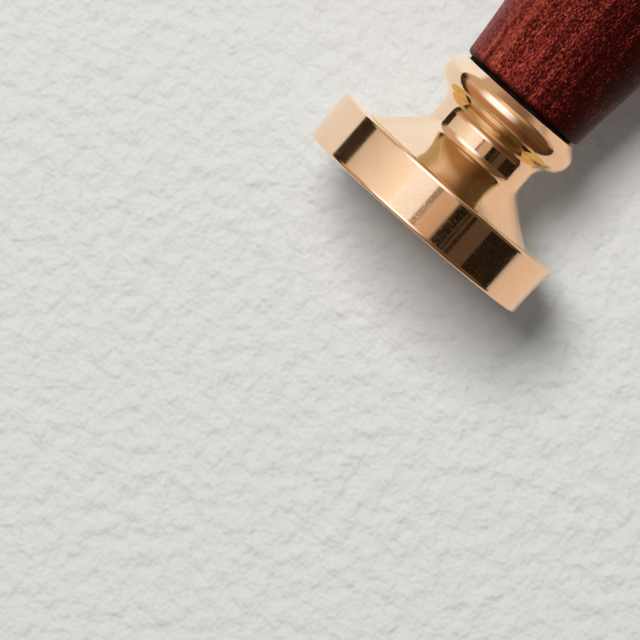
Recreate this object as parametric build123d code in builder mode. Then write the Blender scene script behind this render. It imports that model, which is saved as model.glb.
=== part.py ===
from build123d import *
from math import cos, radians, sin, tan
import os

os.makedirs("parts", exist_ok=True)

# A wax seal stamp standing on its die face: a turned brass head that screws onto a wooden handle.
# Millimetres, +Z up along the stamp's axis, with the origin at the centre of the die face.

# Brass head, from the die face up
die_diameter = 25.0
disc_height = 5.1
disc_edge_break = 0.25
shoulder_width = 3.0
cone_height = 3.25
cone_hollow = 0.14
neck_diameter = 10.75
neck_foot_reach = 0.24
neck_foot_height = 0.7
neck_height = 1.35
cove_reach = 0.72
cove_height = 1.35
bead_under_reach = 1.3
bead_under_height = 1.8
bead_over_height = 1.5
bead_over_round = 1.15
bead_over_slope = 45.0

# Rosette engraved in the die face
engraving_depth = 0.7
border_inset = 1.6
border_width = 0.6
petal_count = 8
petal_inner_radius = 2.4
petal_length = 5.0
petal_width = 2.3
pearl_radius = 0.55
pearl_circle_radius = 8.3
centre_pearl_radius = 1.3

# Right-hand thread between the stud and the head, with metric proportions
thread_diameter = 7.0
thread_pitch = 1.0
thread_depth_per_pitch = 0.55
thread_crest_per_pitch = 0.125
thread_flank_angle = 30.0
thread_clearance = 0.08
thread_root_overlap = 0.05
thread_engagement = 7.0
thread_run_out = 0.4
stud_tip_break = 0.3
hole_end_gap = 1.2
mouth_relief_depth = 0.6
mouth_relief_clearance = 0.16

# Washer between the collar bead and the wood
washer_diameter = 12.1
washer_thickness = 0.25
washer_clearance = 0.1

# Stud shank glued into the wood
shank_diameter = 6.8
shank_length = 20.0
shank_end_break = 0.5
glue_groove_count = 5
glue_groove_radius = 0.4
glue_gap = 0.05
glue_end_gap = 0.3

# Wooden handle, from its base up
handle_base_diameter = 13.3
handle_base_round = 0.5
handle_base_flare = 4.5
belly_diameter = 23.0
belly_height = 44.0
dome_height = 26.0
dome_fullness = 0.62

# Heights above the die face that follow from the sizes
cone_top = disc_height + cone_height
neck_bottom = cone_top + neck_foot_height
neck_top = neck_bottom + neck_height
cove_top = neck_top + cove_height
bead_middle = cove_top + bead_under_height
bead_slope_start = bead_middle + bead_over_round * sin(radians(bead_over_slope))
seat = bead_middle + bead_over_height
handle_base = seat + washer_thickness
stud_tip = seat - thread_engagement
hole_bottom = stud_tip - hole_end_gap
shank_top = handle_base + shank_length
belly_middle = handle_base + belly_height
handle_top = belly_middle + dome_height

# Radii and widths that follow from the sizes
die_radius = die_diameter / 2
neck_radius = neck_diameter / 2
cone_top_radius = neck_radius + neck_foot_reach
cove_radius = neck_radius + cove_reach
bead_radius = cove_radius + bead_under_reach
bead_slope_radius = bead_radius - bead_over_round * (1 - cos(radians(bead_over_slope)))
seat_radius = bead_slope_radius - (seat - bead_slope_start) * tan(radians(bead_over_slope))
thread_depth = thread_pitch * thread_depth_per_pitch
crest_width = thread_pitch * thread_crest_per_pitch
crest_radius = thread_diameter / 2
root_radius = crest_radius - thread_depth
hole_radius = root_radius + thread_clearance
mouth_relief_radius = crest_radius + mouth_relief_clearance
flank_slope = tan(radians(thread_flank_angle))
flank_clearance = thread_clearance / cos(radians(thread_flank_angle))
shank_radius = shank_diameter / 2
glue_hole_radius = shank_radius + glue_gap
handle_base_radius = handle_base_diameter / 2
belly_radius = belly_diameter / 2


# A helical ridge from an inner to an outer radius, kept only inside the outline that is given
def helical_ridge(inner, outer, half_crest, outline):
    half_foot = half_crest + (outer - inner) * flank_slope
    low = hole_bottom - thread_pitch
    high = handle_base + thread_pitch
    with BuildPart() as ridge:
        with BuildLine() as path:
            Helix(pitch=thread_pitch, height=high - low, radius=inner, center=(0, 0, low))
        with BuildSketch(Plane.XZ):
            with BuildLine():
                Polyline(
                    (inner, low - half_foot),
                    (outer, low - half_crest),
                    (outer, low + half_crest),
                    (inner, low + half_foot),
                    close=True,
                )
            make_face()
        sweep(path=path.line, is_frenet=True)
        add(outline, mode=Mode.INTERSECT)
    return ridge.part


# Outline of the stud's thread: a cone leads in above the tip's chamfer and another runs out below the wood
with BuildPart() as stud_thread_outline:
    cone_start = root_radius - 2 * thread_root_overlap
    cone_reach = thread_depth + 4 * thread_root_overlap
    thread_low = stud_tip + stud_tip_break
    thread_high = handle_base - thread_run_out
    with BuildSketch(Plane.XZ):
        with BuildLine():
            Polyline(
                (0, thread_low),
                (cone_start, thread_low),
                (cone_start + cone_reach, thread_low + cone_reach),
                (cone_start + cone_reach, thread_high - cone_reach),
                (cone_start, thread_high),
                (0, thread_high),
                close=True,
            )
        make_face()
    revolve(axis=Axis.Z)

# Outline of the head's thread: from just above the hole's bottom into the relief at its mouth
with BuildPart() as head_thread_outline:
    thread_start = hole_bottom + thread_run_out
    thread_end = seat - mouth_relief_depth / 2
    with BuildSketch(Plane.XY.offset(thread_start)):
        Circle(crest_radius + thread_depth)
    extrude(amount=thread_end - thread_start)

# Rosette of petals with a pearl at the centre, pearls between the petals and a ring around them
with BuildSketch() as petal:
    petal_tip = petal_inner_radius + petal_length
    petal_middle = petal_inner_radius + petal_length / 2
    with BuildLine():
        ThreePointArc((petal_inner_radius, 0), (petal_middle, petal_width / 2), (petal_tip, 0))
        ThreePointArc((petal_tip, 0), (petal_middle, -petal_width / 2), (petal_inner_radius, 0))
    make_face()

with BuildSketch() as rosette:
    Circle(die_radius - border_inset)
    Circle(die_radius - border_inset - border_width, mode=Mode.SUBTRACT)
    Circle(centre_pearl_radius)
    with PolarLocations(0, petal_count):
        add(petal.sketch)
    with PolarLocations(pearl_circle_radius, petal_count, start_angle=180 / petal_count):
        Circle(pearl_radius)

# Brass head: disc, cone, neck and collar bead in one turning, with a tapped hole and an engraved face
with BuildPart() as stamp_head:
    with BuildSketch(Plane.XZ):
        with BuildLine():
            Polyline(
                (0, seat),
                (0, 0),
                (die_radius - disc_edge_break, 0),
                (die_radius, disc_edge_break),
                (die_radius, disc_height - disc_edge_break),
                (die_radius - disc_edge_break, disc_height),
                (die_radius - shoulder_width, disc_height),
            )
            SagittaArc((die_radius - shoulder_width, disc_height), (cone_top_radius, cone_top), -cone_hollow)
            TangentArc((neck_radius, neck_bottom), (cone_top_radius, cone_top), tangent=(0, -1))
            Line((neck_radius, neck_bottom), (neck_radius, neck_top))
            TangentArc((neck_radius, neck_top), (cove_radius, cove_top), tangent=(0, 1))
            TangentArc((bead_radius, bead_middle), (cove_radius, cove_top), tangent=(0, -1))
            TangentArc((bead_radius, bead_middle), (bead_slope_radius, bead_slope_start), tangent=(0, 1))
            Polyline((bead_slope_radius, bead_slope_start), (seat_radius, seat), (0, seat))
        make_face()
    revolve(axis=Axis.Z)
    with Locations((0, 0, seat)):
        CounterBoreHole(hole_radius, mouth_relief_radius, mouth_relief_depth, depth=seat - hole_bottom)
    add(
        helical_ridge(
            hole_radius - thread_root_overlap,
            crest_radius + thread_clearance,
            crest_width / 2 + flank_clearance - thread_clearance * flank_slope,
            head_thread_outline.part,
        ),
        mode=Mode.SUBTRACT,
    )
    add(rosette.sketch)
    extrude(amount=engraving_depth, mode=Mode.SUBTRACT)
stamp_head.part.label = "stamp_head"
export_step(stamp_head.part, "parts/stamp_head.step")

# Thin washer that lies on the collar and carries the wood
with BuildPart() as seat_washer:
    with BuildSketch(Plane.XY.offset(seat)):
        Circle(washer_diameter / 2)
        Circle(crest_radius + washer_clearance, mode=Mode.SUBTRACT)
    extrude(amount=washer_thickness)
seat_washer.part.label = "seat_washer"
export_step(seat_washer.part, "parts/seat_washer.step")

# Steel stud: threaded end for the head, grooved shank for the glue in the wood
with BuildPart() as threaded_stud:
    with BuildSketch(Plane.XZ):
        with BuildLine():
            Polyline(
                (0, stud_tip),
                (root_radius - stud_tip_break, stud_tip),
                (root_radius, stud_tip + stud_tip_break),
                (root_radius, handle_base),
                (shank_radius, handle_base),
                (shank_radius, shank_top - shank_end_break),
                (shank_radius - shank_end_break, shank_top),
                (0, shank_top),
                close=True,
            )
        make_face()
    revolve(axis=Axis.Z)
    groove_spacing = shank_length / (glue_groove_count + 1)
    groove_heights = [handle_base + groove_spacing * (i + 1) for i in range(glue_groove_count)]
    with BuildSketch(Plane.XZ):
        with Locations(*[(shank_radius, height) for height in groove_heights]):
            Circle(glue_groove_radius)
    revolve(axis=Axis.Z, mode=Mode.SUBTRACT)
    add(
        helical_ridge(
            root_radius - thread_root_overlap,
            crest_radius,
            crest_width / 2,
            stud_thread_outline.part,
        )
    )
threaded_stud.part.label = "threaded_stud"
export_step(threaded_stud.part, "parts/threaded_stud.step")

# Turned wooden handle: slim at the base, flaring to a belly, with a domed end and a blind hole for the stud
with BuildPart() as handle:
    flare = radians(handle_base_flare)
    flank_bottom = handle_base + handle_base_round
    flank_pull = (belly_middle - flank_bottom) / 3
    with BuildSketch(Plane.XZ):
        with BuildLine():
            Polyline(
                (0, handle_top),
                (0, shank_top + glue_end_gap),
                (glue_hole_radius, shank_top + glue_end_gap),
                (glue_hole_radius, handle_base),
                (handle_base_radius - handle_base_round, handle_base),
            )
            TangentArc(
                (handle_base_radius - handle_base_round, handle_base),
                (handle_base_radius, flank_bottom),
                tangent=(1, 0),
            )
            Bezier(
                (handle_base_radius, flank_bottom),
                (handle_base_radius + flank_pull * tan(flare), flank_bottom + flank_pull),
                (belly_radius, belly_middle - flank_pull),
                (belly_radius, belly_middle),
            )
            Bezier(
                (belly_radius, belly_middle),
                (belly_radius, belly_middle + dome_height * dome_fullness),
                (belly_radius * dome_fullness, handle_top),
                (0, handle_top),
            )
        make_face()
    revolve(axis=Axis.Z)
handle.part.label = "handle"
export_step(handle.part, "parts/handle.step")
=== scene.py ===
import math

import bpy
from mathutils import Matrix, Vector


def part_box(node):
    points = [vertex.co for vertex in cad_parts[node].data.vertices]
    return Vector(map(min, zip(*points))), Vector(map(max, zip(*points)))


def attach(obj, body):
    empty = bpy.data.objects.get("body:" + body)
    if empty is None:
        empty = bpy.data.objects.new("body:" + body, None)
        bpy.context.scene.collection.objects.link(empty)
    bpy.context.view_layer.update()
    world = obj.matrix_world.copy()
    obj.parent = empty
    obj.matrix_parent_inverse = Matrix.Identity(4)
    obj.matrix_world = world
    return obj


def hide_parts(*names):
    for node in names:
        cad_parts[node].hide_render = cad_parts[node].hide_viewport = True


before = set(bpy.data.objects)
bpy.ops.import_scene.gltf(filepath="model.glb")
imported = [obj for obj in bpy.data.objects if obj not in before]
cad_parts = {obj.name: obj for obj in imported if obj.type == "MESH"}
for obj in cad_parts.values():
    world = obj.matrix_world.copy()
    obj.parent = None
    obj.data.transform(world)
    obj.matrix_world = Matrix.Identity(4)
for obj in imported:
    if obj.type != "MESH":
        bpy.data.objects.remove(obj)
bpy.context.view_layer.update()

mm = 0.001  # this script's lengths are millimetres, Blender's are metres
weldGap = 0.0005  # points of a turned piece that are nearer than this become one
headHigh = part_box("stamp_head")[1]
washerLow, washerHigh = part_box("seat_washer")
handleLow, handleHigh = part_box("handle")
studLow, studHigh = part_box("threaded_stud")
print("frame loaded:", ", ".join(sorted(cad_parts)))


# Modelling helpers
def clearSelection():
    if bpy.context.object and bpy.context.object.mode != "OBJECT":
        bpy.ops.object.mode_set(mode="OBJECT")
    bpy.ops.object.select_all(action="DESELECT")


def selectOnly(*pieces):
    clearSelection()
    for piece in pieces:
        piece.select_set(True)
    bpy.context.view_layer.objects.active = pieces[0]


# A mesh that starts as one point, left in edit mode
def startPoint(x, y, z):
    clearSelection()
    bpy.ops.mesh.primitive_plane_add(size=mm)
    piece = bpy.context.object
    bpy.ops.object.mode_set(mode="EDIT")
    bpy.ops.mesh.select_all(action="SELECT")
    bpy.ops.mesh.merge(type="CENTER")
    bpy.ops.transform.translate(value=(x * mm, y * mm, z * mm))
    return piece


# A turned piece starts as one point of its profile, in the XZ plane
def startProfile(name, radius, height):
    piece = startPoint(radius, 0, height)
    piece.name = name
    piece.data.name = name
    return piece, Vector((radius, height))


# The point is extruded along a straight stretch of the profile
def lineTo(pen, radius, height, steps=1):
    stride = (Vector((radius, height)) - pen) / steps
    for step in range(steps):
        move = {"value": (stride.x * mm, 0, stride.y * mm)}
        bpy.ops.mesh.extrude_vertices_move(TRANSFORM_OT_translate=move)
    return Vector((radius, height))


# The point is spun about the arc's centre: leaving is the profile's direction where the arc starts
def arcTo(pen, radius, height, leaving, steps):
    target = Vector((radius, height))
    chord = target - pen
    ahead = Vector(leaving).normalized()
    left = Vector((-ahead.y, ahead.x))
    centre = pen + left * chord.length_squared / (2 * chord.dot(left))
    turn = 2 * math.atan2(chord.dot(left), chord.dot(ahead))
    bpy.ops.mesh.spin(steps=steps, angle=turn, center=(centre.x * mm, 0, centre.y * mm), axis=(0, 1, 0))
    return target


# The direction in which an arc starts, from the one in which it arrives
def leavingFor(pen, radius, height, arriving):
    chord = (Vector((radius, height)) - pen).normalized()
    arriving = Vector(arriving).normalized()
    return 2 * arriving.dot(chord) * chord - arriving


# The direction in which an arc starts, from its sag: a positive one turns the start to the left
def leavingForSag(pen, radius, height, sag):
    chord = Vector((radius, height)) - pen
    half = 2 * math.atan2(2 * sag, chord.length)
    return Matrix.Rotation(half, 2) @ chord.normalized()


# A cubic curve of the profile, with its two handles
def curveTo(pen, firstHandle, secondHandle, end, steps):
    points = [pen, Vector(firstHandle), Vector(secondHandle), Vector(end)]
    here = pen
    for step in range(1, steps + 1):
        t = step / steps
        weights = ((1 - t) ** 3, 3 * t * (1 - t) ** 2, 3 * t * t * (1 - t), t ** 3)
        there = sum((point * weight for point, weight in zip(points, weights)), Vector((0, 0)))
        here = lineTo(here, there.x, there.y)
    return here


# The finished profile is spun round the stamp's axis into a closed, outward-facing mesh
def turnProfile(segments):
    bpy.ops.mesh.select_all(action="SELECT")
    bpy.ops.mesh.spin(steps=segments, angle=2 * math.pi, center=(0, 0, 0), axis=(0, 0, 1))
    bpy.ops.mesh.select_all(action="SELECT")
    bpy.ops.mesh.remove_doubles(threshold=weldGap * mm)
    bpy.ops.mesh.normals_make_consistent(inside=False)
    bpy.ops.object.mode_set(mode="OBJECT")


def smoothPiece(piece, degrees):
    selectOnly(piece)
    bpy.ops.object.shade_smooth_by_angle(angle=math.radians(degrees))


# Brass head: die disc, cone, neck and collar bead, in millimetres from the die face up
head = {
    "discHeight": 5.1,
    "edgeRound": 0.22,
    "shoulderWidth": 3.0,
    "coneHeight": 3.25,
    "coneHollow": 0.14,
    "neckRadius": 5.375,
    "neckFootReach": 0.24,
    "neckFootHeight": 0.7,
    "neckHeight": 1.35,
    "coveReach": 0.72,
    "coveHeight": 1.35,
    "beadUnderReach": 1.3,
    "beadUnderHeight": 1.8,
    "beadOverRound": 1.15,
    "beadOverSlope": 40.0,
    "seatEdgeRound": 0.2,
    "boreClearance": 0.08,
    "boreEndGap": 1.2,
    "reliefClearance": 0.16,
    "reliefDepth": 0.6,
    "segments": 256,
    "faceSteps": 12,
    "edgeSteps": 6,
    "rimSteps": 24,
    "shoulderSteps": 16,
    "arcSteps": 20,
    "neckSteps": 12,
    "slopeSteps": 6,
    "seatEdgeSteps": 4,
    "seatSteps": 6,
    "reliefSteps": 2,
    "boreSteps": 4,
    "boreEndSteps": 2,
    "smoothAngle": 32,
}


def makeHead():
    dieRadius = headHigh.x / mm
    seat = headHigh.z / mm
    discTop = head["discHeight"]
    edge = head["edgeRound"]
    edgeSteps = head["edgeSteps"]
    arcSteps = head["arcSteps"]
    coneFoot = dieRadius - head["shoulderWidth"]
    coneTop = discTop + head["coneHeight"]
    neck = head["neckRadius"]
    coneTopRadius = neck + head["neckFootReach"]
    neckBottom = coneTop + head["neckFootHeight"]
    neckTop = neckBottom + head["neckHeight"]
    cove = neck + head["coveReach"]
    coveTop = neckTop + head["coveHeight"]
    bead = cove + head["beadUnderReach"]
    beadMiddle = coveTop + head["beadUnderHeight"]
    slope = math.radians(head["beadOverSlope"])
    slopeRadius = bead - head["beadOverRound"] * (1 - math.cos(slope))
    slopeStart = beadMiddle + head["beadOverRound"] * math.sin(slope)
    slopeWay = (-math.sin(slope), math.cos(slope))
    seatRadius = slopeRadius - (seat - slopeStart) * math.tan(slope)
    seatRun = head["seatEdgeRound"] * math.tan((math.pi / 2 - slope) / 2)
    bore = studHigh.x / mm + head["boreClearance"]
    boreEnd = studLow.z / mm - head["boreEndGap"]
    relief = studHigh.x / mm + head["reliefClearance"]
    reliefEnd = seat - head["reliefDepth"]
    piece, pen = startProfile("turned_brass_head", 0, 0)
    pen = lineTo(pen, dieRadius - edge, 0, head["faceSteps"])
    pen = arcTo(pen, dieRadius, edge, (1, 0), edgeSteps)
    pen = lineTo(pen, dieRadius, discTop - edge, head["rimSteps"])
    pen = arcTo(pen, dieRadius - edge, discTop, (0, 1), edgeSteps)
    pen = lineTo(pen, coneFoot, discTop, head["shoulderSteps"])
    coneWay = leavingForSag(pen, coneTopRadius, coneTop, head["coneHollow"])
    pen = arcTo(pen, coneTopRadius, coneTop, coneWay, arcSteps)
    pen = arcTo(pen, neck, neckBottom, leavingFor(pen, neck, neckBottom, (0, 1)), arcSteps)
    pen = lineTo(pen, neck, neckTop, head["neckSteps"])
    pen = arcTo(pen, cove, coveTop, (0, 1), arcSteps)
    pen = arcTo(pen, bead, beadMiddle, leavingFor(pen, bead, beadMiddle, (0, 1)), arcSteps)
    pen = arcTo(pen, slopeRadius, slopeStart, (0, 1), arcSteps)
    pen = lineTo(pen, seatRadius - seatRun * slopeWay[0], seat - seatRun * slopeWay[1], head["slopeSteps"])
    pen = arcTo(pen, seatRadius - seatRun, seat, slopeWay, head["seatEdgeSteps"])
    pen = lineTo(pen, relief, seat, head["seatSteps"])
    pen = lineTo(pen, relief, reliefEnd, head["reliefSteps"])
    pen = lineTo(pen, bore, reliefEnd)
    pen = lineTo(pen, bore, boreEnd, head["boreSteps"])
    pen = lineTo(pen, 0, boreEnd, head["boreEndSteps"])
    turnProfile(head["segments"])
    return piece


# Rosette engraved in the die face: petals, pearls between them, one at the middle and a ring around them
rosette = {
    "depth": 0.7,
    "floorRound": 0.28,
    "floorSegments": 4,
    "below": 0.5,
    "ringInset": 1.6,
    "ringWidth": 0.6,
    "ringCorners": 160,
    "petals": 8,
    "petalStart": 2.4,
    "petalLength": 5.0,
    "petalWidth": 2.3,
    "petalSteps": 20,
    "pearlRadius": 0.55,
    "pearlCircle": 8.3,
    "pearlCorners": 32,
    "middleRadius": 1.3,
    "middleCorners": 64,
    "sameWithin": 0.01,
}


# The drawn outline is filled, raised to the engraving's depth and rounded at its floor
def raiseCutter(piece):
    same = rosette["sameWithin"] * mm
    bpy.ops.mesh.select_all(action="SELECT")
    bpy.ops.mesh.extrude_region_move(
        TRANSFORM_OT_translate={"value": (0, 0, (rosette["depth"] + rosette["below"]) * mm)}
    )
    bpy.ops.mesh.select_all(action="SELECT")
    bpy.ops.mesh.normals_make_consistent(inside=False)
    bpy.ops.mesh.select_mode(type="EDGE")
    bpy.ops.mesh.select_all(action="DESELECT")
    bpy.ops.object.mode_set(mode="OBJECT")
    top = max(vertex.co.z for vertex in piece.data.vertices)
    topFaces = [face for face in piece.data.polygons if face.center.z > top - same]
    topKeys = [key for face in topFaces for key in face.edge_keys]
    for edge in piece.data.edges:
        edge.select = topKeys.count(edge.key) == 1  # edges between the floor and the walls
    bpy.ops.object.mode_set(mode="EDIT")
    bpy.ops.mesh.bevel(offset=rosette["floorRound"] * mm, segments=rosette["floorSegments"], affect="EDGES")
    bpy.ops.mesh.select_mode(type="VERT")
    bpy.ops.object.mode_set(mode="OBJECT")
    return piece


def makePetalCutter():
    low = -rosette["below"]
    start = rosette["petalStart"]
    chord = rosette["petalLength"]
    half = rosette["petalWidth"] / 2
    middle = start + chord / 2
    arcRadius = (chord * chord / 4 + half * half) / (2 * half)
    arcAngle = 2 * math.asin(chord / 2 / arcRadius)
    piece = startPoint(start, 0, low)
    for side in (1, -1):  # out along one edge of the petal and back along the other
        centre = Vector((middle, -side * (arcRadius - half), low)) * mm
        bpy.ops.mesh.spin(steps=rosette["petalSteps"], angle=arcAngle, center=centre, axis=(0, 0, 1))
    bpy.ops.mesh.select_all(action="SELECT")
    bpy.ops.mesh.remove_doubles(threshold=rosette["sameWithin"] * mm)
    bpy.ops.mesh.edge_face_add()
    return raiseCutter(piece)


# A circle at the height where the cutters start, left in edit mode
def startCircle(x, radius, corners, fill):
    clearSelection()
    place = (x * mm, 0, -rosette["below"] * mm)
    bpy.ops.mesh.primitive_circle_add(vertices=corners, radius=radius * mm, fill_type=fill, location=place)
    piece = bpy.context.object
    bpy.ops.object.transform_apply(location=True, rotation=False, scale=False)
    bpy.ops.object.mode_set(mode="EDIT")
    return piece


def makeDotCutter(x, radius, corners):
    return raiseCutter(startCircle(x, radius, corners, "NGON"))


def makeRingCutter():
    outer = headHigh.x / mm - rosette["ringInset"]
    shrink = (outer - rosette["ringWidth"]) / outer
    piece = startCircle(0, outer, rosette["ringCorners"], "NOTHING")
    bpy.ops.mesh.select_all(action="SELECT")
    bpy.ops.mesh.extrude_edges_move()
    bpy.ops.transform.resize(value=(shrink, shrink, 1), center_override=(0, 0, 0))
    return raiseCutter(piece)


def turnedCopy(piece, angle):
    copy = piece.copy()
    copy.data = piece.data.copy()
    copy.data.transform(Matrix.Rotation(angle, 4, "Z"))
    bpy.context.scene.collection.objects.link(copy)
    return copy


def engraveRosette(piece):
    turn = 2 * math.pi / rosette["petals"]
    petal = makePetalCutter()
    pearl = makeDotCutter(rosette["pearlCircle"], rosette["pearlRadius"], rosette["pearlCorners"])
    pearl.data.transform(Matrix.Rotation(turn / 2, 4, "Z"))
    middle = makeDotCutter(0, rosette["middleRadius"], rosette["middleCorners"])
    cutters = [petal, pearl, middle, makeRingCutter()]
    for index in range(1, rosette["petals"]):
        cutters.append(turnedCopy(petal, turn * index))
        cutters.append(turnedCopy(pearl, turn * index))
    selectOnly(*cutters)
    bpy.ops.object.join()
    selectOnly(piece)
    cut = piece.modifiers.new("rosette", "BOOLEAN")
    cut.operation = "DIFFERENCE"
    cut.solver = "EXACT"
    cut.object = petal
    bpy.ops.object.modifier_apply(modifier=cut.name)
    bpy.data.objects.remove(petal)


brassHead = makeHead()
engraveRosette(brassHead)
smoothPiece(brassHead, head["smoothAngle"])
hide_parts("stamp_head")
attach(brassHead, "head")
print("brass head turned and engraved:", len(brassHead.data.polygons), "faces")


# Thin fibre washer with softened edges
washer = {
    "edgeRound": 0.07,
    "holeClearance": 0.1,
    "segments": 160,
    "edgeSteps": 3,
    "faceSteps": 4,
    "smoothAngle": 40,
}


def makeWasher():
    outer = washerHigh.x / mm
    inner = studHigh.x / mm + washer["holeClearance"]
    low = washerLow.z / mm
    high = washerHigh.z / mm
    edge = washer["edgeRound"]
    edgeSteps = washer["edgeSteps"]
    piece, pen = startProfile("fibre_washer", inner, low + edge)
    pen = arcTo(pen, inner + edge, low, (0, -1), edgeSteps)
    pen = lineTo(pen, outer - edge, low, washer["faceSteps"])
    pen = arcTo(pen, outer, low + edge, (1, 0), edgeSteps)
    pen = lineTo(pen, outer, high - edge)
    pen = arcTo(pen, outer - edge, high, (0, 1), edgeSteps)
    pen = lineTo(pen, inner + edge, high, washer["faceSteps"])
    pen = arcTo(pen, inner, high - edge, (-1, 0), edgeSteps)
    pen = lineTo(pen, inner, low + edge)
    turnProfile(washer["segments"])
    return piece


fibreWasher = makeWasher()
smoothPiece(fibreWasher, washer["smoothAngle"])
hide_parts("seat_washer")
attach(fibreWasher, "washer")
print("washer made:", len(fibreWasher.data.polygons), "faces")


# Turned handle: slim at the base, flaring to a belly, with a domed end
grip = {
    "baseRadius": 6.65,
    "baseRound": 0.5,
    "baseFlare": 4.5,
    "bellyHeight": 44.0,
    "domeFullness": 0.62,
    "boreRadius": 3.45,
    "boreEndGap": 0.3,
    "segments": 192,
    "boreEndSteps": 2,
    "boreSteps": 6,
    "footSteps": 6,
    "roundSteps": 12,
    "flankSteps": 90,
    "domeSteps": 60,
    "smoothAngle": 40,
}


def makeHandle():
    base = handleLow.z / mm
    top = handleHigh.z / mm
    belly = handleHigh.x / mm
    foot = grip["baseRadius"]
    corner = grip["baseRound"]
    bore = grip["boreRadius"]
    boreEnd = studHigh.z / mm + grip["boreEndGap"]
    flankLow = base + corner
    bellyMiddle = base + grip["bellyHeight"]
    pull = (bellyMiddle - flankLow) / 3  # the curve's handles are a third of the flank
    flare = math.tan(math.radians(grip["baseFlare"]))
    full = grip["domeFullness"]
    piece, pen = startProfile("turned_wood_handle", 0, boreEnd)
    pen = lineTo(pen, bore, boreEnd, grip["boreEndSteps"])
    pen = lineTo(pen, bore, base, grip["boreSteps"])
    pen = lineTo(pen, foot - corner, base, grip["footSteps"])
    pen = arcTo(pen, foot, flankLow, (1, 0), grip["roundSteps"])
    pen = curveTo(
        pen,
        (foot + pull * flare, flankLow + pull),
        (belly, bellyMiddle - pull),
        (belly, bellyMiddle),
        grip["flankSteps"],
    )
    pen = curveTo(
        pen,
        (belly, bellyMiddle + (top - bellyMiddle) * full),
        (belly * full, top),
        (0, top),
        grip["domeSteps"],
    )
    turnProfile(grip["segments"])
    return piece


woodHandle = makeHandle()
smoothPiece(woodHandle, grip["smoothAngle"])
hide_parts("handle")
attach(woodHandle, "grip")
print("handle turned:", len(woodHandle.data.polygons), "faces")


# Node helpers
def addNode(tree, kind, settings=None, inputs=None):
    made = tree.nodes.new(kind)
    for name, value in (settings or {}).items():
        setattr(made, name, value)
    for name, value in (inputs or {}).items():
        made.inputs[name].default_value = value
    return made


# A socket takes a number, a colour or another node's output
def feed(tree, socket, value):
    if isinstance(value, (int, float)):
        socket.default_value = value
    elif isinstance(value, tuple):
        socket.default_value = (*value, 1.0)
    else:
        tree.links.new(value, socket)


def addMath(tree, operation, *values):
    made = addNode(tree, "ShaderNodeMath", {"operation": operation})
    for socket, value in zip(made.inputs, values):
        feed(tree, socket, value)
    return made.outputs[0]


def addMapRange(tree, kind, value, limits):
    made = addNode(tree, "ShaderNodeMapRange", {"interpolation_type": kind})
    tree.links.new(value, made.inputs["Value"])
    for name, number in zip(("From Min", "From Max", "To Min", "To Max"), limits):
        made.inputs[name].default_value = number
    return made.outputs["Result"]


def addRange(tree, value, fromMin, fromMax, toMin, toMax):
    return addMapRange(tree, "LINEAR", value, (fromMin, fromMax, toMin, toMax))


# Rises smoothly from 0 where the value is at the start to the most where it is at the end
def addFade(tree, value, start, end, most=1.0):
    return addMapRange(tree, "SMOOTHSTEP", value, (start, end, 0.0, most))


def addMix(tree, factor, first, second, blend="MIX"):
    made = addNode(tree, "ShaderNodeMix", {"data_type": "RGBA", "blend_type": blend})
    sockets = (made.inputs[0], made.inputs[6], made.inputs[7])  # the factor and the two colours
    for socket, value in zip(sockets, (factor, first, second)):
        feed(tree, socket, value)
    return made.outputs[2]  # the colour


def addRamp(tree, value, stops):
    made = addNode(tree, "ShaderNodeValToRGB")
    tree.links.new(value, made.inputs["Fac"])
    elements = made.color_ramp.elements
    while len(elements) < len(stops):
        elements.new(0.5)
    for element, (position, colour) in zip(elements, stops):
        element.position = position
        element.color = (*colour, 1.0)
    return made.outputs["Color"]


def addSplit(tree, vector):
    made = addNode(tree, "ShaderNodeSeparateXYZ")
    tree.links.new(vector, made.inputs["Vector"])
    return made.outputs


def addLength(tree, first, second):
    squares = [addMath(tree, "MULTIPLY", value, value) for value in (first, second)]
    return addMath(tree, "SQRT", addMath(tree, "ADD", *squares))


# Noise that is drawn out along the axis where along is less than 1
def addNoise(tree, vector, scale, along=1.0, detail=2.0, rough=0.5):
    spread = addNode(tree, "ShaderNodeMapping", inputs={"Scale": (1.0, 1.0, along)})
    tree.links.new(vector, spread.inputs["Vector"])
    settings = {"Scale": scale, "Detail": detail, "Roughness": rough}
    made = addNode(tree, "ShaderNodeTexNoise", inputs=settings)
    tree.links.new(spread.outputs["Vector"], made.inputs["Vector"])
    return made.outputs["Fac"]


# The piece's own coordinates, in millimetres
def addPlace(tree):
    place = addNode(tree, "ShaderNodeTexCoord")
    scaled = addNode(tree, "ShaderNodeMapping", inputs={"Scale": (1 / mm, 1 / mm, 1 / mm)})
    tree.links.new(place.outputs["Object"], scaled.inputs["Vector"])
    return scaled.outputs["Vector"]


def startMaterial(name, values):
    material = bpy.data.materials.new(name)
    material.use_nodes = True
    tree = material.node_tree
    shader = tree.nodes["Principled BSDF"]
    for socket, value in values.items():
        shader.inputs[socket].default_value = value
    return material, tree, shader


# The height is in millimetres
def addBump(tree, shader, height):
    bump = addNode(tree, "ShaderNodeBump", inputs={"Strength": 1.0, "Distance": mm})
    tree.links.new(height, bump.inputs["Height"])
    tree.links.new(bump.outputs["Normal"], shader.inputs["Normal"])


def startGroup(name, inputs, outputs):
    group = bpy.data.node_groups.new(name, "ShaderNodeTree")
    for socketName, kind in inputs.items():
        group.interface.new_socket(socketName, in_out="INPUT", socket_type=kind)
    for socketName, kind in outputs.items():
        group.interface.new_socket(socketName, in_out="OUTPUT", socket_type=kind)
    return group, addNode(group, "NodeGroupInput"), addNode(group, "NodeGroupOutput")


def placeGroup(tree, group, inputs):
    made = addNode(tree, "ShaderNodeGroup", {"node_tree": group})
    for name, value in inputs.items():
        feed(tree, made.inputs[name], value)
    return made.outputs


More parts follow.
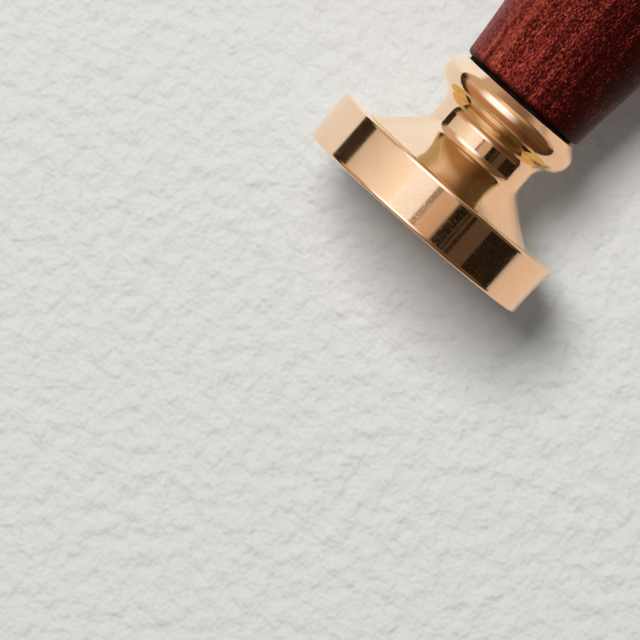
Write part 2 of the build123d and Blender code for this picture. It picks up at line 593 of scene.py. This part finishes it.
# Handling marks, for every finish: cloudy smears and a sprinkling of fine specks
handling = {
    "Smears": {"size": "Smear Size", "detail": 4.0, "rough": 0.55, "limits": (0.38, 0.72)},
    "Specks": {"size": "Speck Size", "detail": 1.0, "rough": 0.55, "limits": (0.57, 0.70)},
}


def makeHandlingGroup():
    group, given, result = startGroup(
        "handling marks",
        {"Place": "NodeSocketVector", "Smear Size": "NodeSocketFloat", "Speck Size": "NodeSocketFloat"},
        {"Smears": "NodeSocketFloat", "Specks": "NodeSocketFloat"},
    )
    for output, mark in handling.items():
        noise = addNode(group, "ShaderNodeTexNoise", inputs={
            "Detail": mark["detail"], "Roughness": mark["rough"]})
        group.links.new(given.outputs["Place"], noise.inputs["Vector"])
        group.links.new(addMath(group, "DIVIDE", 1.0, given.outputs[mark["size"]]), noise.inputs["Scale"])
        group.links.new(addFade(group, noise.outputs["Fac"], *mark["limits"]), result.inputs[output])
    return group


# Turning marks, for the two metals: rings about the piece's axis, finer or coarser by their spacing
rings = {"detail": 3.0}


def makeTurningGroup():
    group, given, result = startGroup(
        "turning marks",
        {"Place": "NodeSocketVector", "Spacing": "NodeSocketFloat"},
        {"Height": "NodeSocketFloat"},
    )
    parts = addSplit(group, given.outputs["Place"])
    spacing = given.outputs["Spacing"]
    radius = addLength(group, parts["X"], parts["Y"])
    angle = addMath(group, "ARCTAN2", parts["Y"], parts["X"])
    joined = addNode(group, "ShaderNodeCombineXYZ")
    group.links.new(addMath(group, "DIVIDE", radius, spacing), joined.inputs["X"])
    group.links.new(addMath(group, "DIVIDE", parts["Z"], spacing), joined.inputs["Y"])
    group.links.new(addMath(group, "SINE", angle), joined.inputs["Z"])
    noise = addNode(group, "ShaderNodeTexNoise", inputs={"Scale": 1.0, "Detail": rings["detail"]})
    group.links.new(joined.outputs["Vector"], noise.inputs["Vector"])
    group.links.new(noise.outputs["Fac"], result.inputs["Height"])
    return group


handlingMarks = makeHandlingGroup()
turningMarks = makeTurningGroup()


# Each finish has its own size of smears and specks, and each metal its own spacing of rings
def addHandling(tree, place, finish):
    return placeGroup(tree, handlingMarks, {
        "Place": place, "Smear Size": finish["smearSize"], "Speck Size": finish["speckSize"]})


def addTurning(tree, place, finish):
    turned = placeGroup(tree, turningMarks, {"Place": place, "Spacing": finish["turningSpacing"]})
    return addMath(tree, "MULTIPLY", turned["Height"], finish["turningDepth"])


# Polished brass: a warm mirror with faint smears, fine specks and traces of its turning
brass = {
    "clean": (0.96, 0.72, 0.52),
    "tarnished": (0.91, 0.65, 0.44),
    "tarnish": 0.35,
    "thrown": (0.95, 0.99, 1.0),
    "anisotropy": 0.45,
    "roughness": 0.045,
    "smearSize": 3.5,
    "smearRoughness": 0.05,
    "speckSize": 0.13,
    "speckRoughness": 0.11,
    "turningSpacing": 0.6,
    "turningDepth": 0.0006,
    "wave": {"scale": 0.35, "detail": 1.0},
    "waveDepth": 0.004,
}


def makeBrass():
    material, tree, shader = startMaterial(
        "polished brass", {"Metallic": 1.0, "Anisotropic": brass["anisotropy"]})
    place = addPlace(tree)
    marks = addHandling(tree, place, brass)
    tarnish = addMath(tree, "MULTIPLY", marks["Smears"], brass["tarnish"])
    colour = addMix(tree, tarnish, brass["clean"], brass["tarnished"])
    # the light that it throws on the paper is neutral
    rayKind = addNode(tree, "ShaderNodeLightPath")
    colour = addMix(tree, rayKind.outputs["Is Diffuse Ray"], colour, brass["thrown"])
    smears = addMath(tree, "MULTIPLY", marks["Smears"], brass["smearRoughness"])
    specks = addMath(tree, "MULTIPLY", marks["Specks"], brass["speckRoughness"])
    rough = addMath(tree, "ADD", addMath(tree, "ADD", smears, specks), brass["roughness"])
    wave = addMath(tree, "MULTIPLY", addNoise(tree, place, **brass["wave"]), brass["waveDepth"])
    tangent = addNode(tree, "ShaderNodeTangent", {"direction_type": "RADIAL", "axis": "Z"})
    tree.links.new(tangent.outputs["Tangent"], shader.inputs["Tangent"])
    tree.links.new(colour, shader.inputs["Base Color"])
    tree.links.new(rough, shader.inputs["Roughness"])
    addBump(tree, shader, addMath(tree, "ADD", wave, addTurning(tree, place, brass)))
    return material


# Zinc-plated steel of the stud
steel = {
    "bright": (0.66, 0.67, 0.69),
    "dull": (0.42, 0.42, 0.41),
    "roughness": 0.24,
    "smearSize": 1.6,
    "smearRoughness": 0.18,
    "speckSize": 0.15,
    "turningSpacing": 0.25,
    "turningDepth": 0.004,
}


def makeSteel():
    material, tree, shader = startMaterial("zinc-plated steel", {"Metallic": 1.0})
    place = addPlace(tree)
    marks = addHandling(tree, place, steel)
    colour = addMix(tree, marks["Smears"], steel["bright"], steel["dull"])
    smears = addMath(tree, "MULTIPLY", marks["Smears"], steel["smearRoughness"])
    tree.links.new(colour, shader.inputs["Base Color"])
    tree.links.new(addMath(tree, "ADD", smears, steel["roughness"]), shader.inputs["Roughness"])
    addBump(tree, shader, addTurning(tree, place, steel))
    return material


# Black vulcanised fibre of the washer
fibre = {
    "dark": (0.004, 0.0036, 0.0034),
    "worn": (0.012, 0.011, 0.010),
    "roughness": 0.8,
    "specular": 0.12,
    "smearSize": 1.2,
    "speckSize": 0.12,
    "grain": {"scale": 6.0, "detail": 4.0},
    "grainDepth": 0.02,
}


def makeFibre():
    material, tree, shader = startMaterial(
        "black fibre", {"Roughness": fibre["roughness"], "Specular IOR Level": fibre["specular"]})
    place = addPlace(tree)
    marks = addHandling(tree, place, fibre)
    colour = addMix(tree, marks["Smears"], fibre["dark"], fibre["worn"])
    tree.links.new(colour, shader.inputs["Base Color"])
    grain = addNoise(tree, place, **fibre["grain"])
    addBump(tree, shader, addMath(tree, "MULTIPLY", grain, fibre["grainDepth"]))
    return material


# Red-stained hardwood under a satin lacquer: growth bands, fibres, pores and flecks along the axis
wood = {
    "tones": [
        (0.448, (0.024, 0.0020, 0.0016)),
        (0.500, (0.085, 0.0075, 0.0058)),
        (0.552, (0.240, 0.0270, 0.0165)),
        (0.630, (0.400, 0.0740, 0.0470)),
    ],
    "fleck": (0.660, 0.1600, 0.0550),
    # the dark of the pores, also the colour of the painted shade at the base
    "poreAndShade": (0.012, 0.0014, 0.0012),
    # paler sapwood, pinkish so that it also gives a painted sheen
    "sapAndSheen": (0.360, 0.0720, 0.0600),
    "pith": (28.3, 7.1),
    "lean": 0.05,
    "sway": 2.4,
    "swayScale": 0.045,
    "swayDetail": 1.0,
    "bands": {"scale": 0.75, "detail": 4.0, "rough": 0.6},
    "bandRise": 0.012,
    "bandShare": 0.36,
    "fibres": {"scale": 1.7, "along": 0.07, "detail": 6.0, "rough": 0.66},
    "fibreShare": 0.22,
    "fibreDepth": 0.012,
    "mottle": {"scale": 8.0, "along": 0.36, "detail": 1.0, "rough": 0.7},
    "mottleShare": 0.52,
    "heartReach": (27.8, 23.6),
    "heartDepth": 0.108,
    "flecks": {"scale": 3.2, "along": 0.12, "detail": 4.0},
    "fleckLimits": (0.58, 0.69),
    "fleckTones": (0.47, 0.63),
    "fleckStrength": 0.85,
    "sapSheenReach": (31.0, 33.2),
    "sapSheenStrength": 0.85,
    "sapSheenMottle": (0.38, 0.62),
    "sapSheenLeast": 0.1,
    "pores": {"scale": 7.0, "along": 0.40, "detail": 1.0},
    "poreLimits": (0.58, 0.68),
    "poreStrength": 0.8,
    "poreDepth": 0.030,
    # painted shade at the base of the handle
    "baseShadeHeight": 0.5,
    "baseShadeBelow": 0.2,
    "roughness": 0.36,
    "smearSize": 9.0,
    "smearRoughness": 0.10,
    "speckSize": 0.3,
    "specular": 0.04,
    "coat": 0.03,
    "coatRoughness": 0.3,
}


# The fibres sway a little about the axis
def addSwayedGrain(tree, place):
    noise = addNode(tree, "ShaderNodeTexNoise", inputs={
        "Scale": wood["swayScale"], "Detail": wood["swayDetail"]})
    tree.links.new(place, noise.inputs["Vector"])
    centred = addNode(tree, "ShaderNodeVectorMath", {"operation": "SUBTRACT"})
    tree.links.new(noise.outputs["Color"], centred.inputs[0])
    centred.inputs[1].default_value = (0.5, 0.5, 0.5)  # the middle of the noise
    swayed = addNode(tree, "ShaderNodeVectorMath", {"operation": "MULTIPLY_ADD"})
    tree.links.new(centred.outputs[0], swayed.inputs[0])
    swayed.inputs[1].default_value = (wood["sway"], wood["sway"], 0.0)
    tree.links.new(place, swayed.inputs[2])
    return swayed.outputs[0]


# Distance from the tree's pith, which leans off the handle's axis
def addPithDistance(tree, parts):
    pithX, pithY = wood["pith"]
    lean = addMath(tree, "MULTIPLY", parts["Z"], wood["lean"])
    fromX = addMath(tree, "ADD", addMath(tree, "SUBTRACT", parts["X"], pithX), lean)
    return addLength(tree, fromX, addMath(tree, "SUBTRACT", parts["Y"], pithY))


# Growth bands follow the distance from the pith and change slowly along the axis
def addBands(tree, fromPith, height):
    growth = addNode(tree, "ShaderNodeCombineXYZ")
    tree.links.new(fromPith, growth.inputs["X"])
    tree.links.new(addMath(tree, "MULTIPLY", height, wood["bandRise"]), growth.inputs["Y"])
    return addNoise(tree, growth.outputs["Vector"], **wood["bands"])


# Bands, fibres and mottle give the tone, and heartwood, nearer to the pith, is darker
def addTone(tree, bands, fibres, mottle, fromPith):
    tone = addMath(tree, "MULTIPLY", bands, wood["bandShare"])
    tone = addMath(tree, "ADD", tone, addMath(tree, "MULTIPLY", fibres, wood["fibreShare"]))
    tone = addMath(tree, "ADD", tone, addMath(tree, "MULTIPLY", mottle, wood["mottleShare"]))
    return addMath(tree, "SUBTRACT", tone, addFade(tree, fromPith, *wood["heartReach"], wood["heartDepth"]))


# Painted shade: the wood is darker towards its base, where it sits on the washer, with a mottled edge
def addBaseShade(tree, height, mottle):
    base = handleLow.z / mm
    shadedHeight = addMath(tree, "ADD", height, addMath(tree, "MULTIPLY", mottle, -wood["baseShadeHeight"]))
    return addFade(tree, shadedHeight, base + wood["baseShadeHeight"], base - wood["baseShadeBelow"])


def makeWood():
    material, tree, shader = startMaterial("stained wood", {
        "Specular IOR Level": wood["specular"],
        "Coat Weight": wood["coat"],
        "Coat Roughness": wood["coatRoughness"],
    })
    place = addPlace(tree)
    grain = addSwayedGrain(tree, place)
    parts = addSplit(tree, grain)
    fromPith = addPithDistance(tree, parts)
    bands = addBands(tree, fromPith, parts["Z"])
    fibres = addNoise(tree, grain, **wood["fibres"])
    mottle = addNoise(tree, grain, **wood["mottle"])
    pores = addFade(tree, addNoise(tree, grain, **wood["pores"]), *wood["poreLimits"])
    flecks = addFade(tree, addNoise(tree, grain, **wood["flecks"]), *wood["fleckLimits"])
    tone = addTone(tree, bands, fibres, mottle, fromPith)
    colour = addRamp(tree, tone, wood["tones"])
    # the flecks lie in the lighter wood
    lighter = addFade(tree, tone, *wood["fleckTones"], wood["fleckStrength"])
    colour = addMix(tree, addMath(tree, "MULTIPLY", flecks, lighter), colour, wood["fleck"])
    # sapwood, far from the pith, is paler, and this pale pinkish colour also stands in for a painted sheen
    # on that side
    patches = addRange(tree, mottle, *wood["sapSheenMottle"], wood["sapSheenLeast"], 1.0)
    sapwoodAndSheen = addFade(tree, fromPith, *wood["sapSheenReach"], wood["sapSheenStrength"])
    colour = addMix(tree, addMath(tree, "MULTIPLY", sapwoodAndSheen, patches), colour, wood["sapAndSheen"])
    colour = addMix(tree, addMath(tree, "MULTIPLY", pores, wood["poreStrength"]), colour, wood["poreAndShade"])
    # painted shade at the base of the handle, in the pore colour
    colour = addMix(tree, addBaseShade(tree, parts["Z"], mottle), colour, wood["poreAndShade"])
    marks = addHandling(tree, place, wood)
    smears = addMath(tree, "MULTIPLY", marks["Smears"], wood["smearRoughness"])
    tree.links.new(colour, shader.inputs["Base Color"])
    tree.links.new(addMath(tree, "ADD", smears, wood["roughness"]), shader.inputs["Roughness"])
    ridges = addMath(tree, "MULTIPLY", fibres, wood["fibreDepth"])
    pits = addMath(tree, "MULTIPLY", pores, wood["poreDepth"])
    addBump(tree, shader, addMath(tree, "SUBTRACT", ridges, pits))
    return material


def dress(piece, material):
    piece.data.materials.clear()
    piece.data.materials.append(material)


dress(brassHead, makeBrass())
dress(fibreWasher, makeFibre())
dress(woodHandle, makeWood())
dress(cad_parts["threaded_stud"], makeSteel())
print("materials set")

# The stamp lies on its side in the photograph, so the camera is rolled and the floor is behind the stamp
shot = {
    "azimuth": 45.0,
    "elevation": 3.05,
    "axisTilt": 48.6,
    "distance": 800.0,
    "frameWidth": 59.07,
    "middleAcross": -0.45,
    "middleUp": -12.3,
    "sensor": 36.0,
}
azimuth = math.radians(shot["azimuth"])
towardCamera = Vector((math.sin(azimuth), -math.cos(azimuth), 0))
acrossView = Vector((math.cos(azimuth), math.sin(azimuth), 0))
upward = Vector((0, 0, 1))


def makeCamera():
    lift = math.radians(shot["elevation"])
    back = towardCamera * math.cos(lift) + upward * math.sin(lift)
    above = back.cross(acrossView)
    roll = math.radians(90 - shot["axisTilt"])
    right = acrossView * math.cos(roll) + above * math.sin(roll)
    top = above * math.cos(roll) - acrossView * math.sin(roll)
    middle = acrossView * shot["middleAcross"] * mm + upward * shot["middleUp"] * mm
    lens = bpy.data.cameras.new("photo camera")
    lens.sensor_width = shot["sensor"]
    lens.lens = shot["sensor"] * shot["distance"] / shot["frameWidth"]
    camera = bpy.data.objects.new("photo camera", lens)
    turn = Matrix((right, top, back)).transposed().to_4x4()
    camera.matrix_world = Matrix.Translation(middle + back * shot["distance"] * mm) @ turn
    bpy.context.scene.collection.objects.link(camera)
    bpy.context.scene.camera = camera


makeCamera()

# Sheet of pale paper under the lying stamp: it all but touches the disc's rim and the handle's belly
floor = {
    "left": 112.0,
    "right": 188.0,
    "below": 170.0,
    "above": 230.0,
    "rimClearance": 0.05,
    "bellyClearance": 0.20,  # the raised handle still clears the sheet
    "colour": (0.81, 0.805, 0.785),
    "roughness": 0.9,
    "specular": 0.1,
    "grainSize": 1.8,
    "grainDepth": 0.60,
    "toothSize": 0.35,
    "toothDepth": 0.03,
    "mirroredLow": (0.80, 0.765, 0.725),
    "mirroredHigh": (0.92, 0.96, 0.97),
    "mirroredRight": (0.78, 0.63, 0.51),
    "mirroredFar": (0.50, 0.37, 0.30),
    "mirroredTwice": (0.77, 0.72, 0.39),
    "mirroredGlow": 0.14,
    "paleUp": (0.0, 22.0),
    "shadeAcross": (-8.0, 16.0),
    "farUp": (50.0, 120.0),
    # where the sheet glows as painted light for the back of the handle, and how strongly
    "backGlowUp": (15.0, 50.0),
    "backGlow": 0.40,
}
# the sheet's middle, measured from the point where the rim touches it
floorMiddleAcross = (floor["right"] - floor["left"]) / 2
floorMiddleUp = (floor["above"] - floor["below"]) / 2
betweenMirrors = 1.5  # a ray's glossy depth is 1 after one mirror and 2 after two


# Fades across and up the sheet, with their limits measured from the point where the rim touches it
def addFadeAcross(tree, parts, limits):
    start, end = (limit - floorMiddleAcross for limit in limits)
    return addFade(tree, parts["X"], start, end)


def addFadeUp(tree, parts, limits, most=1.0):
    start, end = (limit - floorMiddleUp for limit in limits)
    return addFade(tree, parts["Y"], start, end, most)


# Painted reflection: only for rays from the brass the sheet takes other colours, paler higher up, and
# warmer on the shaded right and far up
def addMirroredPaper(tree, parts):
    raised = addFadeUp(tree, parts, floor["paleUp"])
    shaded = addFadeAcross(tree, parts, floor["shadeAcross"])
    far = addFadeUp(tree, parts, floor["farUp"])
    colour = addMix(tree, raised, floor["mirroredLow"], floor["mirroredHigh"])
    colour = addMix(tree, shaded, colour, floor["mirroredRight"])
    return addMix(tree, far, colour, floor["mirroredFar"])


def addPaperRelief(tree, place, size, depth):
    return addMath(tree, "MULTIPLY", addNoise(tree, place, 1 / size), depth)


# Seen from behind the sheet is clear, so that views from that side show the stamp
def clearFromBehind(tree, shader):
    side = addNode(tree, "ShaderNodeNewGeometry")
    clear = addNode(tree, "ShaderNodeBsdfTransparent")
    choice = addNode(tree, "ShaderNodeMixShader")
    tree.links.new(side.outputs["Backfacing"], choice.inputs["Fac"])
    tree.links.new(shader.outputs["BSDF"], choice.inputs[1])
    tree.links.new(clear.outputs["BSDF"], choice.inputs[2])
    tree.links.new(choice.outputs["Shader"], tree.nodes["Material Output"].inputs["Surface"])


def makeFloorMaterial():
    material, tree, shader = startMaterial(
        "pale paper", {"Roughness": floor["roughness"], "Specular IOR Level": floor["specular"]})
    place = addPlace(tree)
    parts = addSplit(tree, place)
    grain = addPaperRelief(tree, place, floor["grainSize"], floor["grainDepth"])
    tooth = addPaperRelief(tree, place, floor["toothSize"], floor["toothDepth"])
    addBump(tree, shader, addMath(tree, "ADD", grain, tooth))
    # painted reflection: one mirror shows the sheet in other, mirrored colours, with a faint painted glow,
    # and two mirrors show it golden
    rayKind = addNode(tree, "ShaderNodeLightPath")
    mirrors = rayKind.outputs["Glossy Depth"]
    mirrored = addMirroredPaper(tree, parts)
    once = addMath(tree, "LESS_THAN", mirrors, betweenMirrors)
    inMirror = addMath(tree, "MULTIPLY", rayKind.outputs["Is Glossy Ray"], once)
    again = addMath(tree, "GREATER_THAN", mirrors, betweenMirrors)
    colour = addMix(tree, again, floor["colour"], floor["mirroredTwice"])
    tree.links.new(addMix(tree, inMirror, colour, mirrored), shader.inputs["Base Color"])
    tree.links.new(mirrored, shader.inputs["Emission Color"])
    glow = addMath(tree, "MULTIPLY", inMirror, floor["mirroredGlow"])
    # painted light: higher up the sheet glows, for diffuse rays only, and lights the back of the handle
    glowShare = addFadeUp(tree, parts, floor["backGlowUp"], floor["backGlow"])
    diffuseGlow = addMath(tree, "MULTIPLY", rayKind.outputs["Is Diffuse Ray"], glowShare)
    tree.links.new(addMath(tree, "ADD", glow, diffuseGlow), shader.inputs["Emission Strength"])
    clearFromBehind(tree, shader)
    return material


def makeFloor():
    rimTop = (head["discHeight"] - head["edgeRound"]) * mm
    bellyMiddle = handleLow.z + grip["bellyHeight"] * mm
    depthAtRim = headHigh.x + floor["rimClearance"] * mm
    depthAtBelly = handleHigh.x + floor["bellyClearance"] * mm
    touchRim = upward * rimTop - towardCamera * depthAtRim
    touchBelly = upward * bellyMiddle - towardCamera * depthAtBelly
    along = (touchBelly - touchRim).normalized()
    facing = acrossView.cross(along)
    clearSelection()
    bpy.ops.mesh.primitive_plane_add(size=1)
    sheet = bpy.context.object
    sheet.name = "paper_floor"
    width = (floor["left"] + floor["right"]) * mm
    height = (floor["below"] + floor["above"]) * mm
    middle = touchRim + acrossView * floorMiddleAcross * mm + along * floorMiddleUp * mm
    turn = Matrix((acrossView, along, facing)).transposed().to_4x4()
    sheet.matrix_world = Matrix.Translation(middle) @ turn @ Matrix.Diagonal((width, height, 1, 1))
    bpy.ops.object.transform_apply(location=False, rotation=False, scale=True)
    dress(sheet, makeFloorMaterial())


makeFloor()
print("camera and floor set")

# Soft studio light: a large key from the left, and a room of light and dark cards that the brass mirrors
light = {
    "keyAngle": -20.0,
    "keyLift": 11.0,
    "keyDistance": 800.0,
    "keySize": 280.0,
    "keyPower": 5.25,
    "keyColour": (1.0, 0.995, 0.985),
    "fill": (0.162, 0.163, 0.164),
    "backdrop": (0.72, 0.716, 0.704),
    "whiteCard": (1.0, 0.97, 0.94),
    "warmCard": (1.0, 0.90, 0.77),
    "darkCard": (1.0, 0.68, 0.44),
    "cardEdge": 0.0006,
    "cardLift": -1.8,
    "cardLeave": (1.1, 2.0),
    "highLeft": (0.60, 0.43, 0.27),
    "highRight": (0.125, 0.072, 0.036),
    "highAcross": (-0.28, 0.62),
    "lowShade": (0.76, 0.56, 0.42),
    "lowLift": (-5.0, -25.0),
    "topShade": (0.58, 0.50, 0.56),
    "topLift": (57.0, 77.0),
    "ceiling": {"across": (-12.0, 35.0), "acrossSoft": 28.0, "lift": (42.0, 56.0), "liftSoft": 14.0},
    "ceilingGlow": (1.9, 1.85, 1.7),
    "skylineAbove": (0.58, 0.43, 0.34),
    "skylineBelow": (0.05, 0.030, 0.016),
    "skylineLift": (5.0, 28.0),
    "skylineDepth": 0.18,
    "twiceTint": (0.82, 1.10, 1.16),
    "window": {"across": (-26.0, -11.0), "acrossSoft": 33.0, "lift": (-5.0, 18.0), "liftSoft": 22.0},
    "windowColour": (1.55, 1.60, 1.80),
    "windowTwice": 0.36,
}
# (start in degrees to the right of the camera, brightness there and at the end, colour)
cards = [
    (-180, 0.80, 0.80, "whiteCard"),
    (-101, 0.03, 0.03, "darkCard"),
    (-81, 0.62, 1.06, "warmCard"),
    (-27, 1.06, 0.92, "whiteCard"),
    (-3.8, 0.35, 0.35, "darkCard"),
    (2.2, 0.60, 0.56, "darkCard"),
    (19.6, 0.008, 0.012, "darkCard"),
    (30.0, 0.10, 0.10, "darkCard"),
    (31.0, 0.018, 0.018, "darkCard"),
    (35.0, 0.12, 0.12, "darkCard"),
    (36.0, 0.018, 0.018, "darkCard"),
    (40.0, 0.085, 0.085, "darkCard"),
    (57.0, 0.014, 0.014, "darkCard"),
    (94.0, 0.50, 0.50, "warmCard"),
]


def makeKey():
    angle = math.radians(light["keyAngle"])
    lift = math.radians(light["keyLift"])
    level = towardCamera * math.cos(angle) + acrossView * math.sin(angle)
    direction = level * math.cos(lift) + upward * math.sin(lift)
    lamp = bpy.data.lights.new("key", "AREA")
    lamp.shape = "SQUARE"
    lamp.size = light["keySize"] * mm
    lamp.energy = light["keyPower"]
    lamp.color = light["keyColour"]
    key = bpy.data.objects.new("key", lamp)
    key.location = direction * light["keyDistance"] * mm + upward * headHigh.z
    key.rotation_mode = "QUATERNION"
    key.rotation_quaternion = direction.to_track_quat("Z", "Y")
    key.visible_camera = False
    key.visible_glossy = False
    bpy.context.scene.collection.objects.link(key)


def addDot(tree, vector, direction):
    made = addNode(tree, "ShaderNodeVectorMath", {"operation": "DOT_PRODUCT"})
    tree.links.new(vector, made.inputs[0])
    made.inputs[1].default_value = direction
    return made.outputs["Value"]


# A fade whose limits are in degrees
def addTurnFade(tree, angle, start, end):
    return addFade(tree, angle, math.radians(start), math.radians(end))


# 1 between two angles, with soft edges outside them
def addWindow(tree, angle, limits, soft):
    low, high = limits
    rising = addTurnFade(tree, angle, low - soft, low)
    falling = addTurnFade(tree, angle, high + soft, high)
    return addMath(tree, "MULTIPLY", rising, falling)


# 1 inside a patch of the room's wall or ceiling
def addPatch(tree, angle, lift, patch):
    across = addWindow(tree, angle, patch["across"], patch["acrossSoft"])
    up = addWindow(tree, lift, patch["lift"], patch["liftSoft"])
    return addMath(tree, "MULTIPLY", across, up)


# The cards stand in a ring about the stamp's axis
def addCards(tree, angle):
    around = addRange(tree, angle, -math.pi, math.pi, 0.0, 1.0)
    ends = [card[0] for card in cards[1:]] + [180]
    stops = []
    for (start, first, last, colour), end in zip(cards, ends):
        tint = Vector(light[colour])
        stops.append(((start + 180) / 360 + light["cardEdge"], tuple(tint * first)))
        stops.append(((end + 180) / 360 - light["cardEdge"], tuple(tint * last)))
    return addRamp(tree, around, stops)


# Off the cards the room is softer: darker on the right, low down and overhead, brighter on the ceiling
def addSurroundings(tree, across, front, angle, lift):
    toRight = addFade(tree, across, *light["highAcross"])
    room = addMix(tree, toRight, light["highLeft"], light["highRight"])
    room = addMix(tree, addTurnFade(tree, lift, *light["lowLift"]), room, light["lowShade"], "MULTIPLY")
    room = addMix(tree, addTurnFade(tree, lift, *light["topLift"]), room, light["topShade"], "MULTIPLY")
    ceiling = addPatch(tree, angle, lift, light["ceiling"])
    room = addMix(tree, ceiling, room, light["ceilingGlow"], "MULTIPLY")
    # near the plane of the paper the room is pale above the stamp and dark below it
    aboveStamp = addTurnFade(tree, lift, *light["skylineLift"])
    skyline = addMix(tree, aboveStamp, light["skylineBelow"], light["skylineAbove"])
    return addMix(tree, addFade(tree, front, 0.0, light["skylineDepth"]), skyline, room)


def makeRoom():
    world = bpy.data.worlds.new("studio")
    bpy.context.scene.world = world
    world.use_nodes = True
    tree = world.node_tree
    look = addNode(tree, "ShaderNodeTexCoord").outputs["Generated"]
    across = addDot(tree, look, acrossView)
    front = addDot(tree, look, towardCamera)
    angle = addMath(tree, "ARCTAN2", across, front)
    lift = addMath(tree, "ARCSINE", addDot(tree, look, upward))
    fromCards = addMath(tree, "ABSOLUTE", addMath(tree, "SUBTRACT", lift, math.radians(light["cardLift"])))
    leave = addTurnFade(tree, fromCards, *light["cardLeave"])
    surroundings = addSurroundings(tree, across, front, angle, lift)
    room = addMix(tree, leave, addCards(tree, angle), surroundings)
    # mirrored twice, the room is less red, and the window that the key stands for is dimmer
    rayKind = addNode(tree, "ShaderNodeLightPath")
    twice = addMath(tree, "GREATER_THAN", rayKind.outputs["Glossy Depth"], betweenMirrors)
    room = addMix(tree, twice, room, light["twiceTint"], "MULTIPLY")
    windowShare = addRange(tree, twice, 0.0, 1.0, 1.0, light["windowTwice"])
    window = addMath(tree, "MULTIPLY", addPatch(tree, angle, lift, light["window"]), windowShare)
    room = addMix(tree, addMath(tree, "MULTIPLY", window, leave), room, light["windowColour"])
    # mirrors show the room, everything else is lit by an even fill beside the key
    lit = addMix(tree, rayKind.outputs["Is Glossy Ray"], light["fill"], room)
    shown = addMix(tree, rayKind.outputs["Is Camera Ray"], lit, light["backdrop"])
    tree.links.new(shown, tree.nodes["Background"].inputs["Color"])


makeKey()
makeRoom()
bpy.context.scene.view_settings.view_transform = "Standard"
print("light set")
